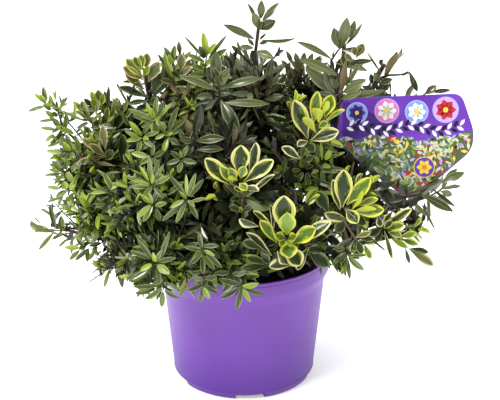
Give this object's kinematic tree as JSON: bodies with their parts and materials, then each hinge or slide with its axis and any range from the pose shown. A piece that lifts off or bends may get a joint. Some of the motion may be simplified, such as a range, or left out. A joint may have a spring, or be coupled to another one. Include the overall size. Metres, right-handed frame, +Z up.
{
  "type": "potted hebe shrub",
  "caption": "Small evergreen hebe shrub of mixed green, dark and cream-edged leaves, in a round purple plastic nursery pot with a blank picture label on a stick.",
  "frame": {"origin": "centre of the pot's flat underside", "axes": "+Z up; +X to the right and +Y to the back, seen from the side that the label faces"},
  "size_m": [0.4381, 0.3069, 0.3794],
  "materials": {
    "pot_plastic": "satin moulded purple plastic",
    "compost": "dark crumbly compost",
    "label_plastic": "printed plastic, purple above and leafy green below",
    "bark": "thin purple-brown bark with leaf scars",
    "green_leaves": "small light green leaves with a soft shine",
    "dark_leaves": "long dark leaves with a grey-green shine",
    "cream_edged_leaves": "green leaves with cream and yellow edges"
  },
  "bodies": {
    "root": {"pot": "pot_plastic", "root_ball": "compost", "plant_label": "label_plastic", "stem_green": "bark", "stem_dark": "bark", "stem_cream": "bark", "stem_back": "bark", "bough_left_upper": "bark", "bough_left_tip": "bark", "bough_left": "bark", "bough_left_low": "bark", "bough_left_middle": "bark", "bough_front_left": "bark", "bough_front": "bark", "bough_middle": "bark", "bough_top_left": "bark", "bough_cream_left": "bark", "bough_back_left": "bark", "bough_back": "bark", "bough_top": "bark", "bough_right_top": "bark", "bough_back_top": "bark", "bough_right_back": "bark", "bough_back_right": "bark", "bough_cream_front_top": "bark", "bough_cream_front": "bark", "bough_cream_upper": "bark", "bough_cream_right": "bark", "bough_right_patch": "bark", "bough_cream_right_low": "bark", "bough_right": "bark", "foliage_left_upper_tip": "green_leaves", "foliage_left_upper": "green_leaves", "foliage_left_tip": "green_leaves", "foliage_left": "green_leaves", "foliage_left_low": "green_leaves", "foliage_left_middle": "green_leaves", "foliage_front_left": "green_leaves", "foliage_front": "green_leaves", "foliage_right_patch": "green_leaves", "foliage_back_left": "green_leaves", "foliage_top_left": "dark_leaves", "foliage_top": "dark_leaves", "foliage_top_shoot": "dark_leaves", "foliage_middle": "dark_leaves", "foliage_right_top": "dark_leaves", "foliage_right_shoot": "dark_leaves", "foliage_right_back": "dark_leaves", "foliage_right_back_shoot": "dark_leaves", "foliage_right": "dark_leaves", "foliage_back_top": "dark_leaves", "foliage_back": "dark_leaves", "foliage_back_right": "dark_leaves", "foliage_cream_left": "cream_edged_leaves", "foliage_cream_front_top": "cream_edged_leaves", "foliage_cream_front": "cream_edged_leaves", "foliage_cream_upper": "cream_edged_leaves", "foliage_cream_right": "cream_edged_leaves", "foliage_cream_right_low": "cream_edged_leaves"}
  },
  "joints": []
}
